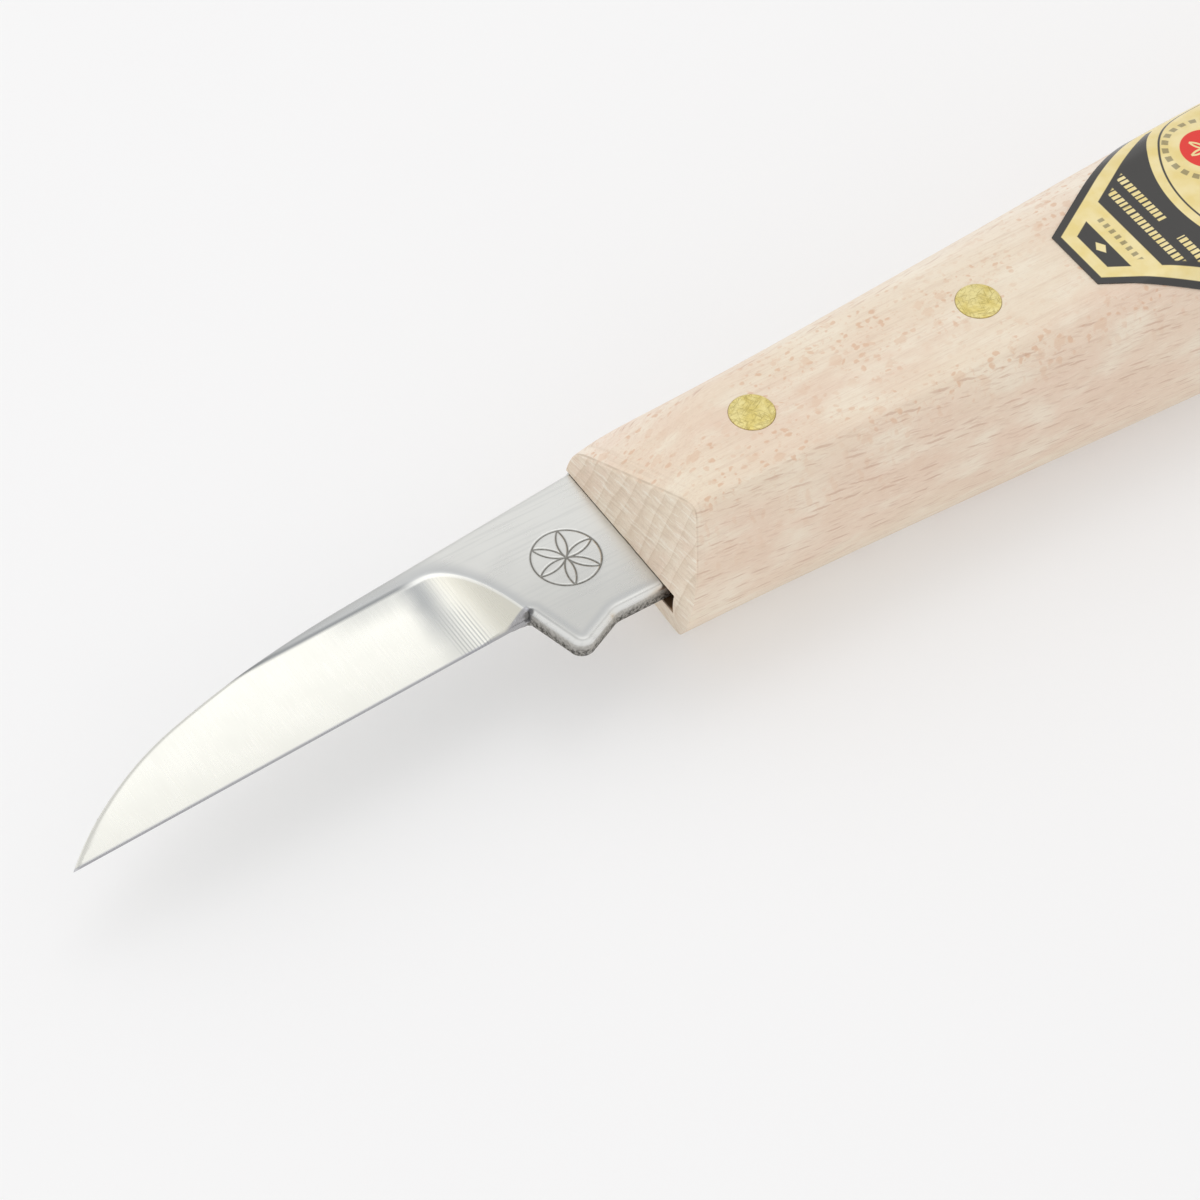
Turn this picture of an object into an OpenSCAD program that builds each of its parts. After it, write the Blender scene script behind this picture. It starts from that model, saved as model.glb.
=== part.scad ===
// Carving and lino knife: a one-piece hollow-ground blade held in a slotted beech handle
// by two brass rivets, with a foil label wrapped on one flank.
//
// The shapes are worked out in knife axes: X runs from the tip to the butt and is 0 where
// the wood begins, Y runs from the cutting edge to the back and is 0 on the rivet line, and
// Z runs through the blade's thickness and is 0 in its middle. The knife lies on one flank,
// and the part's origin is the middle of its bounding box on the plane it lies on.

/* [Blade] */
// Length of the straight part of the back, in front of the handle
back_straight = 23.7; // [18:0.1:28]
// Slope of the back, falling towards the tip, in degrees
back_slope = 5.3; // [4:0.1:6]
// Height of the back above the rivet line where the wood begins
back_y = 8.7; // [8:0.1:8.8]
// Radius of the gentle first part of the drop to the tip
drop_radius = 109; // [90:1:130]
// Radius of the tighter last part of the drop to the tip
nose_radius = 29.7; // [26:0.1:34]
// Slope of the cutting edge, falling towards the tip, in degrees
edge_slope = 2.5; // [2:0.1:3]
// Thickness of the blade's stock
blade_t = 2.1; // [1.8:0.1:2.4]
// Thickness left at the cutting edge
edge_t = 0.16; // [0.1:0.02:0.3]

/* [Handle] */
// Length of the handle
handle_len = 112; // [104:1:118]
// Half of the handle's thickness between its two flats
flat_z = 9.3; // [8.8:0.1:9.5]
// Distance of the fullest part of the handle from its front
belly_x = 80; // [70:1:88]
// How far the front bevels lean back, per millimetre away from the blade
bevel_lean = 0.36; // [0.2:0.02:0.45]
// Distance of the slot's closed end from the rivet line
slot_floor = 7.5; // [7:0.1:8]
// Length of the slot, and of the tang within it
slot_len = 52; // [44:1:60]

/* [Rivets] */
// Radius of a rivet
rivet_r = 2; // [1.5:0.1:2.2]
// Distance of the front rivet from the front of the handle
rivet_x = 12.7; // [11:0.1:16]
// Distance between the rivets
rivet_pitch = 23.5; // [18:0.5:26]
// How far a rivet stands proud of the upper flat
rivet_proud = 0.15; // [0.05:0.05:0.2]

/* [Label] */
// Distance of the label's near end from the front of the handle
label_x = 46; // [42:1:48]
// Length of the label
label_len = 43; // [36:1:46]
// Half of the label's width, measured round the handle
label_half = 12; // [9:0.5:13]
// Half of the label's width at its cut-off ends
label_end_half = 3.25; // [2:0.25:5]

/* [Hidden] */

beech = "#ead8bd";
steel = "#c8cbcc";
brass = "#c8b14c";
foil = "#1d1d20";

rivet_clear = 0.03;
slot_clear = 0.1;
tang_y = 6.15;
tang_sink = 0.06;
facets = 48;

// ---- Handle sections ----
// Each cross-section is a softened polygon. Its sides are listed as the angle of their
// outward direction, from +Y towards +Z, and their distance from the axis.
side_softness = [16, 9];
softness_x = 45;
spine_side = [9.0, 12.9, 10.6];
spine_shoulder = [9.2, 13.0, 10.9];
edge_side = [10.1, 12.2, 10.4];
edge_shoulder_top = [10.0, 11.6, 10.1];
edge_shoulder_low = [8.7, 11.2, 10.1];
flank_crown = 9.65;
spine_shoulder_angle = 38;
edge_shoulder_angle = 148;
// A sanded facet rolls each flank down towards the back near the front of the handle.
facet_angle = 71.2;
facet_reach = 5.45;
facet_rise = 0.47;
butt_x = 95;
butt_power = 2.4;
butt_fill = 0.985;

function ease(t) = let (c = min(1, max(0, t))) c * c * (3 - 2 * c);

// A size with its values at the front, the belly and the butt
function swell(v, x) =
    v[0] + (v[1] - v[0]) * ease(x / belly_x)
    - (v[1] - v[2]) * ease((x - belly_x) / (handle_len - belly_x));

// The butt closes along a soft quarter round, which ends in a small flat.
function butt_scale(x) =
    x <= butt_x ? 1
    : let (t = butt_fill * (x - butt_x) / (handle_len - butt_x))
    pow(1 - pow(t, butt_power), 1 / butt_power);

function sides(x) = let (s = butt_scale(x), facet = facet_reach + facet_rise * x) [
    [0, s * swell(spine_side, x)],
    [spine_shoulder_angle, s * swell(spine_shoulder, x)],
    [facet_angle, facet],
    [90, s * flank_crown],
    [edge_shoulder_angle, s * swell(edge_shoulder_top, x)],
    [180, s * swell(edge_side, x)],
    [-edge_shoulder_angle, s * swell(edge_shoulder_low, x)],
    [-90, s * flank_crown],
    [-facet_angle, facet],
    [-spine_shoulder_angle, s * swell(spine_shoulder, x)],
];

function softness(x) =
    side_softness[0] + (side_softness[1] - side_softness[0]) * ease(x / softness_x);

function radius_at(x, angle) =
    let (
        p = softness(x),
        terms = [for (s = sides(x)) pow(max(0, cos(angle - s[0])) / s[1], p)]
    )
    pow(terms * [for (t = terms) 1], -1 / p);

function section_point(x, angle) =
    let (r = radius_at(x, angle)) [r * cos(angle), r * sin(angle)];

function section(x) = [for (i = [0 : facets - 1]) section_point(x, i * 360 / facets)];

stations = concat(
    [for (x = [-0.5 : 1.5 : 11.5]) x],
    [for (x = [15 : 4 : butt_x]) x],
    [for (a = [15 : 7.5 : 90]) butt_x + (handle_len - butt_x) * sin(a)]
);

// ---- Blade outline ----
back_end = [-back_straight, back_y - back_straight * tan(back_slope)];
drop_centre = back_end + drop_radius * [sin(back_slope), -cos(back_slope)];
drop_turn = 14.7;
drop_end = drop_centre + drop_radius * [-sin(drop_turn), cos(drop_turn)];
nose_centre = drop_end + nose_radius * [sin(drop_turn), -cos(drop_turn)];
heel = [-10.8, -2.55];

// Signed height of a point above the line of the cutting edge
function above_edge(p) = (p[1] - heel[1]) * cos(edge_slope) - (p[0] - heel[0]) * sin(edge_slope);

// The nose arc meets the cutting edge this far round from the blade's normal.
nose_turn = edge_slope + acos(-above_edge(nose_centre) / nose_radius);
tip = nose_centre + nose_radius * [-sin(nose_turn), cos(nose_turn)];

function arc(centre, r, from, to, steps) =
    [for (i = [0 : steps]) let (a = from + (to - from) * i / steps)
        centre + r * [cos(a), sin(a)]];

lobe_centre = [-8.35, -6.45];
lobe_r = 1.3;
lobe_front_angle = 188;
lobe_rise_angle = 302;
crook_centre = [-4.15, -8.2];
crook_r = 2.05;
crook_to = 90;

tang_back = [for (x = [slot_len - 1.5 : -5 : 4]) [x, radius_at(x, 0) - tang_sink]];

blade_outline = concat(
    [tip, heel],
    arc(lobe_centre, lobe_r, lobe_front_angle, lobe_rise_angle, 8),
    arc(crook_centre, crook_r, lobe_rise_angle - 180, crook_to, 4),
    [[slot_len - 3, -tang_y], [slot_len - slot_clear, 3 - tang_y]],
    [[slot_len - slot_clear, radius_at(slot_len, 0) - 3]],
    tang_back,
    [[0, back_y], back_end],
    arc(drop_centre, drop_radius, 90 + back_slope, 90 + drop_turn, 5),
    arc(nose_centre, nose_radius, 90 + drop_turn, 90 + nose_turn - 2, 14)
);

// ---- Hollow grind ----
// The wheel runs along the cutting edge. It leaves the edge thin and comes out of the flat
// below the back. Its side is a cone, which leaves the sloping plunge at the heel.
wheel_r = 75;
grind_width = 8.45;
plunge_x = -13.6;
plunge_run = 2.9;
cone_depth = 2;

grind_rise = (blade_t - edge_t) / 2;
chord = norm([grind_width, grind_rise]);
chord_lean = atan2(grind_rise, grind_width);
wheel_height = sqrt(wheel_r * wheel_r - chord * chord / 4);
wheel_offset = chord / 2 * cos(chord_lean) - wheel_height * sin(chord_lean);
wheel_z = edge_t / 2 + chord / 2 * sin(chord_lean) + wheel_height * cos(chord_lean);

module wheel() {
    translate([heel[0], heel[1], 0])
        rotate([0, 0, edge_slope])
            translate([plunge_x - heel[0], wheel_offset, wheel_z])
                rotate([0, 90, 0])
                    rotate_extrude($fn = 180)
                        polygon([
                            [0, -60], [wheel_r, -60], [wheel_r, 0],
                            [wheel_r - cone_depth, cone_depth * plunge_run],
                            [0, cone_depth * plunge_run],
                        ]);
}

module rivet_pattern() {
    for (x = [rivet_x, rivet_x + rivet_pitch])
        translate([x, 0, 0])
            children();
}

// ---- Bounding box ----
widths = [for (x = stations) section(x)];
top_y = max([for (s = widths) max([for (p = s) p[0]])]);
low_y = min([for (s = widths) min([for (p = s) p[0]])]);

// Moves the knife from its own axes to the part's frame
module lay_down() {
    translate([-(tip[0] + handle_len) / 2, -(top_y + low_y) / 2, flat_z])
        children();
}

// ---- Sub-parts ----
module blade() {
    color(steel)
        lay_down()
            difference() {
                translate([0, 0, -blade_t / 2])
                    linear_extrude(blade_t)
                        polygon(blade_outline);
                wheel();
                mirror([0, 0, 1])
                    wheel();
                rivet_pattern()
                    cylinder(h = 2 * blade_t, r = rivet_r + rivet_clear, center = true, $fn = 64);
            }
}

module handle_loft() {
    rings = len(stations);
    ring_faces = [
        for (k = [0 : rings - 2], i = [0 : facets - 1])
            let (a = k * facets + i, b = k * facets + (i + 1) % facets)
                each [[a, a + facets, b], [b, a + facets, b + facets]]
    ];
    polyhedron(
        points = [for (k = [0 : rings - 1], p = widths[k]) [stations[k], p[0], p[1]]],
        faces = concat(
            [[for (i = [0 : facets - 1]) i]],
            ring_faces,
            [[for (i = [facets - 1 : -1 : 0]) (rings - 1) * facets + i]]
        )
    );
}

// The two front bevels and the two flats, seen along Y
module handle_profile() {
    ridge = blade_t / 2;
    setback = bevel_lean * (flat_z - ridge);
    translate([0, 30, 0])
        rotate([90, 0, 0])
            linear_extrude(60)
                polygon([
                    [0, -ridge], [setback, -flat_z], [handle_len + 1, -flat_z],
                    [handle_len + 1, flat_z], [setback, flat_z], [0, ridge],
                ]);
}

module handle() {
    color(beech)
        lay_down()
            difference() {
                intersection() {
                    handle_loft();
                    handle_profile();
                }
                translate([-1, -slot_floor, -blade_t / 2 - slot_clear])
                    cube([slot_len + 1, 30, blade_t + 2 * slot_clear]);
                rivet_pattern()
                    cylinder(h = 3 * flat_z, r = rivet_r + rivet_clear, center = true, $fn = 64);
            }
}

// A solid pin, flush with the lower flat and a little proud of the upper one
module rivet(x) {
    chamfer = rivet_proud / 2;
    top = flat_z + rivet_proud;
    color(brass)
        lay_down()
            translate([x, 0, 0])
                rotate_extrude($fn = 64)
                    polygon([
                        [0, -flat_z], [rivet_r, -flat_z], [rivet_r, top - chamfer],
                        [rivet_r - chamfer, top], [0, top],
                    ]);
}

module rivet_front() {
    rivet(rivet_x);
}

module rivet_rear() {
    rivet(rivet_x + rivet_pitch);
}

// ---- Label ----
// The foil is laid out flat, as distance along the handle and distance round it, and then
// wrapped on the handle's surface.
label_angle = 94;
label_gap = 0.03;
label_t = 0.1;
label_taper = 30;
label_columns = 16;
label_rows = 24;
walk_step = 2;

function surface_point(x, angle) =
    let (p = section_point(x, angle)) [p[0], min(flat_z, max(-flat_z, p[1]))];

// Distances round the handle from the label's middle line, with the angle that each is at
function walk(x, direction, steps, i = 0, s = 0) =
    i == steps ? [[direction * s, label_angle - direction * i * walk_step]]
    : let (
        a = surface_point(x, label_angle - direction * i * walk_step),
        b = surface_point(x, label_angle - direction * (i + 1) * walk_step)
    )
    concat(
        [[direction * s, label_angle - direction * i * walk_step]],
        walk(x, direction, steps, i + 1, s + norm(b - a))
    );

function label_width(x) =
    let (inset = min(x - label_x, label_x + label_len - x))
    min(label_half, label_end_half + inset * tan(label_taper));

// One line of points across the label, from its edge side to its back side
function label_line(x, lift) =
    let (table = concat([for (e = walk(x, -1, 45)) e], [for (e = walk(x, 1, 45)) e]))
    [for (j = [0 : label_rows])
        let (
            s = label_width(x) * (2 * j / label_rows - 1),
            a = lookup(s, table),
            p = surface_point(x, a),
            t = surface_point(x, a - 1) - surface_point(x, a + 1),
            n = [-t[1], t[0]] / norm(t)
        )
        [x, p[0] + lift * n[0], p[1] + lift * n[1]]
    ];

shoulder_inset = (label_half - label_end_half) / tan(label_taper);
label_stations = concat(
    [for (i = [0 : 5]) label_x + shoulder_inset * i / 5],
    [for (i = [1 : 3])
        label_x + shoulder_inset + (label_len - 2 * shoulder_inset) * i / 4],
    [for (i = [5 : -1 : 0]) label_x + label_len - shoulder_inset * i / 5]
);

module label() {
    columns = len(label_stations);
    across = label_rows + 1;
    skin = columns * across;
    inner = [for (x = label_stations) each label_line(x, label_gap)];
    outer = [for (x = label_stations) each label_line(x, label_gap + label_t)];
    quads = [
        for (k = [0 : columns - 2], j = [0 : across - 2])
            let (a = k * across + j)
                [a, a + across, a + across + 1, a + 1]
    ];
    rim = concat(
        [for (k = [0 : columns - 1]) k * across],
        [for (j = [1 : across - 1]) (columns - 1) * across + j],
        [for (k = [columns - 2 : -1 : 0]) k * across + across - 1],
        [for (j = [across - 2 : -1 : 1]) j]
    );
    color(foil)
        lay_down()
            polyhedron(
                points = concat(inner, outer),
                faces = [
                    for (q = quads) each [
                        [q[0], q[2], q[1]], [q[0], q[3], q[2]],
                        [q[0] + skin, q[1] + skin, q[2] + skin],
                        [q[0] + skin, q[2] + skin, q[3] + skin],
                    ],
                    for (i = [0 : len(rim) - 1])
                        let (a = rim[i], b = rim[(i + 1) % len(rim)])
                            each [[a, b, b + skin], [a, b + skin, a + skin]],
                ]
            );
}

blade();
handle();
rivet_front();
rivet_rear();
label();
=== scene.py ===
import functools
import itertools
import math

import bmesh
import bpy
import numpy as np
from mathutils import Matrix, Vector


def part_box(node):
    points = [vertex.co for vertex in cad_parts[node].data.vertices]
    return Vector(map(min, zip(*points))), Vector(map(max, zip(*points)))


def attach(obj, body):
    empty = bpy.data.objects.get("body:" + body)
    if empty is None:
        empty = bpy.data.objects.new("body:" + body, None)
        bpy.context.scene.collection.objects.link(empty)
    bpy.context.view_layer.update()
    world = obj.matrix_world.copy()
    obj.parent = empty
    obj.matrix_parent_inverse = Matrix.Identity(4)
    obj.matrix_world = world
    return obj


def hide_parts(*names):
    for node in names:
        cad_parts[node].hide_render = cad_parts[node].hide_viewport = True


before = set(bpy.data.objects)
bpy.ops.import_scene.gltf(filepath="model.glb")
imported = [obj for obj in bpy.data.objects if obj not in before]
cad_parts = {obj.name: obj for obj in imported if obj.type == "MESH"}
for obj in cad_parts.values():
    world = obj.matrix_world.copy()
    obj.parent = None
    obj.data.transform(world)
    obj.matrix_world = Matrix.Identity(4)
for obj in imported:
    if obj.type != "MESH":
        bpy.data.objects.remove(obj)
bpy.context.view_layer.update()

# The looks of a carving and lino knife: a hollow-ground blade in a slotted beech handle, held
# by two brass rivets, with a foil label on the upper flank.
#
# Shapes are worked out in knife axes, in millimetres, as the CAD does: X runs from the tip to
# the butt and is 0 where the wood begins, Y runs from the cutting edge to the back and is 0 on
# the rivet line, and Z runs through the blade's thickness and is 0 in its middle. Each piece's
# object sits at the origin of those axes, so a material's object coordinates are knife axes too.

MM = 0.001
RIVET_X = 12.7


def knife_origin():
    """The origin of the knife axes in the row frame, from the front rivet and the blade."""
    pin_low, pin_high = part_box("rivet_front")
    steel_low, steel_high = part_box("blade")
    pin = (pin_low + pin_high) / 2
    return Vector((pin.x - RIVET_X * MM, pin.y, (steel_low.z + steel_high.z) / 2))


ORIGIN = knife_origin()


def knife_box(node):
    """A CAD node's lowest and highest corners in knife axes."""
    return [np.array(corner - ORIGIN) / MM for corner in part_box(node)]


# ---- Sizes in knife axes, as in the CAD ----
BLADE_LOW, BLADE_HIGH = knife_box("blade")
TIP_X = BLADE_LOW[0]
TANG_END = BLADE_HIGH[0]
HALF_STOCK = BLADE_HIGH[2]
BACK_Y = 8.7
BACK_STRAIGHT = 23.7
BACK_SLOPE = math.radians(5.3)
DROP_R = 109
DROP_TURN = math.radians(14.7)
NOSE_R = 29.7
HEEL = np.array((-10.8, -2.55))
EDGE_SLOPE = math.radians(2.5)
EDGE_HALF = 0.08
LOBE_CENTRE, LOBE_R = np.array((-8.35, -6.45)), 1.3
CROOK_CENTRE, CROOK_R = np.array((-4.15, -8.2)), 2.05
TANG_Y = -6.15
WHEEL_R = 75
GRIND_WIDTH = 8.45
PLUNGE_X = -13.6
PLUNGE_RUN = 2.9
PLUNGE_ROUND = 2.6
WHET_WIDTH = 0.25
BACK_ROUND = 0.4
GUARD_ROUND = 0.7
MARK_CENTRE, MARK_R = (-5.1, 0.9), 3.0
GROOVE_HALF = 0.13
GROOVE_DEPTH = 0.07

HANDLE_LEN = 112
FLAT_Z = 9.3
FLANK = 9.65
BELLY_X = 80
BUTT_X = 95
BUTT_POWER = 2.4
BEVEL_LEAN = 0.36
FACET_TURN = 71.2
FACET_START, FACET_RISE = 5.45, 0.47
FRONT_POWER, REAR_POWER, POWER_X = 22, 9, 45
SOFTENED_X = 14
SLOT_FLOOR = -7.5
SLOT_HALF = HALF_STOCK + 0.1

RIVET_R = 2
RIVET_PITCH = 23.5
RIVET_PLACES = (RIVET_X, RIVET_X + RIVET_PITCH)
RIVET_TOP = knife_box("rivet_front")[1][2]
RIVET_ARRIS, RIVET_DOME = 0.09, 0.05
BORE_R = RIVET_R + 0.03

LABEL_X = 46
LABEL_LEN = 43
LABEL_HALF = 12
LABEL_END_HALF = 3.25
LABEL_TAPER = math.radians(30)
LABEL_MIDDLE = math.radians(94)
LABEL_GAP, LABEL_TOP = 0.02, 0.12
DISC_PLACE, DISC_R = (18.1, 4.6), 2.35
PETAL_R = 1.6


# ---- Meshes ----
def grid_faces(rows, columns, closed=False):
    """The quads between rows of points. A closed grid joins each row's last point to its first."""
    faces = []
    for r in range(rows - 1):
        for c in range(columns if closed else columns - 1):
            a = r * columns + c
            b = r * columns + (c + 1) % columns
            faces.append((a, b, b + columns, a + columns))
    return faces


def shell_faces(rows, columns):
    """The faces of a closed shell: two grids, one under the other, and a wall round them."""
    top = grid_faces(rows, columns)
    count = rows * columns
    faces = top + [tuple(i + count for i in reversed(face)) for face in top]
    rim = [r * columns for r in range(rows)]
    rim += [(rows - 1) * columns + c for c in range(1, columns)]
    rim += [r * columns + columns - 1 for r in range(rows - 2, -1, -1)]
    rim += list(range(columns - 2, 0, -1))
    faces += [(a, b, b + count, a + count) for a, b in zip(rim, rim[1:] + rim[:1])]
    return faces


def tube_faces(rings, around):
    """The faces of a tube of rings, closed by a point at each end. Those two come last."""
    faces = grid_faces(rings, around, closed=True)
    first, last = rings * around, rings * around + 1
    end_ring = (rings - 1) * around
    for i in range(around):
        j = (i + 1) % around
        faces += [(first, j, i), (last, end_ring + i, end_ring + j)]
    return faces


def new_object(name, points, faces):
    """An object with its origin at the knife's, made from points in millimetres."""
    mesh = bpy.data.meshes.new(name)
    mesh.from_pydata((np.asarray(points) * MM).tolist(), [], faces)
    obj = bpy.data.objects.new(name, mesh)
    obj.location = ORIGIN
    bpy.context.scene.collection.objects.link(obj)
    work = bmesh.new()
    work.from_mesh(mesh)
    bmesh.ops.recalc_face_normals(work, faces=work.faces)
    work.to_mesh(mesh)
    work.free()
    return obj


def block(name, low, high):
    """A box to cut with."""
    corners = list(itertools.product(*zip(low, high)))
    faces = [(0, 1, 3, 2), (4, 6, 7, 5), (0, 4, 5, 1), (2, 3, 7, 6), (0, 2, 6, 4), (1, 5, 7, 3)]
    return new_object(name, corners, faces)


def turned(name, profile, x, steps=96):
    """A solid of revolution round Z at x. The profile is (radius, z) pairs, from axis to axis."""
    turns = np.linspace(0, 2 * math.pi, steps, endpoint=False)
    rings = [(x + r * np.cos(turns), r * np.sin(turns), np.full(steps, z)) for r, z in profile[1:-1]]
    points = np.concatenate([np.stack(ring, axis=1) for ring in rings])
    points = np.vstack([points, (x, 0, profile[0][1]), (x, 0, profile[-1][1])])
    return new_object(name, points, tube_faces(len(rings), steps))


def cut(obj, cutters):
    """Takes the cutters out of obj and removes them."""
    for cutter in cutters:
        modifier = obj.modifiers.new(cutter.name, "BOOLEAN")
        modifier.operation = "DIFFERENCE"
        modifier.solver = "EXACT"
        modifier.object = cutter
    bpy.context.view_layer.update()
    shaped = bpy.data.meshes.new_from_object(obj.evaluated_get(bpy.context.evaluated_depsgraph_get()))
    obj.modifiers.clear()
    obj.data = shaped
    for cutter in cutters:
        bpy.data.objects.remove(cutter)


def rivet_holes(depth):
    """Cutters for the holes that the rivets go through."""
    profile = [(0, -depth), (BORE_R, -depth), (BORE_R, depth), (0, depth)]
    return [turned(f"hole_{x}", profile, x) for x in RIVET_PLACES]


def drop_doubled_faces(work):
    """Deletes the slivers that a cut leaves as two faces on the same corners."""
    found = {}
    for face in work.faces:
        found.setdefault(frozenset(face.verts), []).append(face)
    doubled = [face for faces in found.values() if len(faces) > 1 for face in faces]
    bmesh.ops.delete(work, geom=doubled, context="FACES")


def finish_piece(obj, material, node, sharp_angle=30):
    """A clean mesh, smooth shading with sharp edges, the material, and the piece's place in the
    frame."""
    work = bmesh.new()
    work.from_mesh(obj.data)
    bmesh.ops.triangulate(work, faces=work.faces)
    bmesh.ops.remove_doubles(work, verts=work.verts, dist=0.0002 * MM)
    drop_doubled_faces(work)
    work.to_mesh(obj.data)
    work.free()
    obj.data.shade_smooth()
    obj.data.set_sharp_from_angle(angle=math.radians(sharp_angle))
    obj.data.materials.clear()
    obj.data.materials.append(material)
    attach(obj, "root")
    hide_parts(node)
    return obj


def smooth_max(a, b, reach):
    """The larger of a and b, rounded off where they are within reach of each other."""
    near = np.maximum(reach - np.abs(a - b), 0) / reach
    return np.maximum(a, b) + near * near * reach / 4


def smooth_min(a, b, reach):
    return -smooth_max(-a, -b, reach)


def project(points, field, steps=4):
    """Moves points onto the surface where field is 0."""
    nudge = 0.004
    flattest = 0.2
    for _ in range(steps):
        value = field(points)
        slopes = []
        for axis in np.eye(3):
            change = field(points + nudge * axis) - field(points - nudge * axis)
            slopes.append(change / (2 * nudge))
        slope = np.stack(slopes, axis=1)
        points = points - slope * (value / np.maximum((slope**2).sum(axis=1), flattest))[:, None]
    return points


# ---- Handle ----
def ease(t):
    """A smooth rise from 0 to 1."""
    t = np.clip(t, 0, 1)
    return t * t * (3 - 2 * t)


def swell(sizes, x):
    """A size with its values at the front, the belly and the butt."""
    front, belly, butt = sizes
    rear = ease((x - BELLY_X) / (HANDLE_LEN - BELLY_X))
    return front + (belly - front) * ease(x / BELLY_X) - (belly - butt) * rear


def butt_scale(x):
    """How far the sides close in at the rounded butt, from 1 down to nearly 0."""
    t = np.clip((x - BUTT_X) / (HANDLE_LEN - BUTT_X), 0, 0.9999)
    return (1 - t**BUTT_POWER) ** (1 / BUTT_POWER)


def handle_radius(x, angle):
    """Distance of the handle's surface from its axis. Each section is a softened polygon, with
    its sides given by the angle of their outward direction and their distance from the axis."""
    closing = butt_scale(x)
    facet = FACET_START + FACET_RISE * x
    sides = [
        (0, closing * swell((9.0, 12.9, 10.6), x)),
        (38, closing * swell((9.2, 13.0, 10.9), x)),
        (FACET_TURN, facet),
        (90, closing * FLANK),
        (148, closing * swell((10.0, 11.6, 10.1), x)),
        (180, closing * swell((10.1, 12.2, 10.4), x)),
        (212, closing * swell((8.7, 11.2, 10.1), x)),
        (270, closing * FLANK),
        (-FACET_TURN, facet),
        (322, closing * swell((9.2, 13.0, 10.9), x)),
    ]
    power = FRONT_POWER - (FRONT_POWER - REAR_POWER) * ease(x / POWER_X)
    total = 0
    for side, distance in sides:
        total = total + (np.maximum(0, np.cos(angle - math.radians(side))) / distance) ** power
    return total ** (-1 / power)


def handle_field(points):
    """Distance outside the handle's outer surface, with its arrises softened by sanding."""
    x, y, z = points.T
    side = np.hypot(y, z) - handle_radius(x, np.arctan2(z, y))
    side = smooth_max(side, np.abs(z) - FLAT_Z, 0.1)
    bevel = (BEVEL_LEAN * (np.abs(z) - HALF_STOCK) - x) / math.hypot(1, BEVEL_LEAN)
    nose = smooth_max(bevel, -x, 0.3)
    return smooth_max(side, nose, 0.14)


def front_rim(turns):
    """Where each line along the handle meets the front bevels."""
    x = np.zeros_like(turns)
    for _ in range(8):
        radius = handle_radius(x, turns)
        _, z = section(radius, turns)
        x = np.maximum(0, BEVEL_LEAN * (np.abs(z) - HALF_STOCK))
    return x, radius


def section(radius, turns):
    """Y and Z round a section of the handle, with its flanks planed flat."""
    return radius * np.cos(turns), np.clip(radius * np.sin(turns), -FLAT_Z, FLAT_Z)


def handle_rings(turns):
    """Rings of points, from the middle of the front face over its rim and along to the butt."""
    rim_x, rim_radius = front_rim(turns)
    near_rim = [0.03, 0.06, 0.1, 0.15, 0.22, 0.32, 0.5, 0.8, 1.3, 2.0]
    inner = [rim_radius * share for share in (0.1, 0.22, 0.34, 0.46, 0.56, 0.65)]
    rings = []
    for radius in inner + [rim_radius - inset for inset in near_rim[::-1]]:
        y, z = section(radius, turns)
        x = np.maximum(0, BEVEL_LEAN * (np.abs(z) - HALF_STOCK))
        rings.append(np.stack([x, y, z], axis=1))
    along = [0.0] + near_rim + list(np.arange(3.0, BUTT_X, 0.9))
    along += list(BUTT_X + (HANDLE_LEN - BUTT_X) * np.sin(np.radians(np.arange(0, 88.5, 2.5))))
    for distance in along:
        x = distance + rim_x * (1 - ease(distance / 12))
        radius = handle_radius(x, turns)
        y, z = section(radius, turns)
        rings.append(np.stack([x, y, z], axis=1))
    return rings


def make_handle(material):
    around = 256
    turns = np.linspace(0, 2 * math.pi, around, endpoint=False)
    rings = handle_rings(turns)
    points = np.concatenate(rings)
    front = points[:, 0] < SOFTENED_X
    points[front] = project(points[front], handle_field)
    box_low, box_high = knife_box("handle")
    points = np.clip(points, box_low, box_high)
    points = np.vstack([points, (0, 0, 0), (box_high[0], 0, 0)])
    handle = new_object("handle_wood", points, tube_faces(len(rings), around))
    slot = block("slot", (-1, SLOT_FLOOR, -SLOT_HALF), (TANG_END + 0.1, 30, SLOT_HALF))
    cut(handle, [slot, *rivet_holes(12)])
    return finish_piece(handle, material, "handle")


# ---- Blade ----
def arc(centre, radius, start, end, steps=24):
    """Points on an arc, between two angles in degrees."""
    turns = np.radians(np.linspace(start, end, steps))
    return np.stack([centre[0] + radius * np.cos(turns), centre[1] + radius * np.sin(turns)], axis=1)


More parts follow.
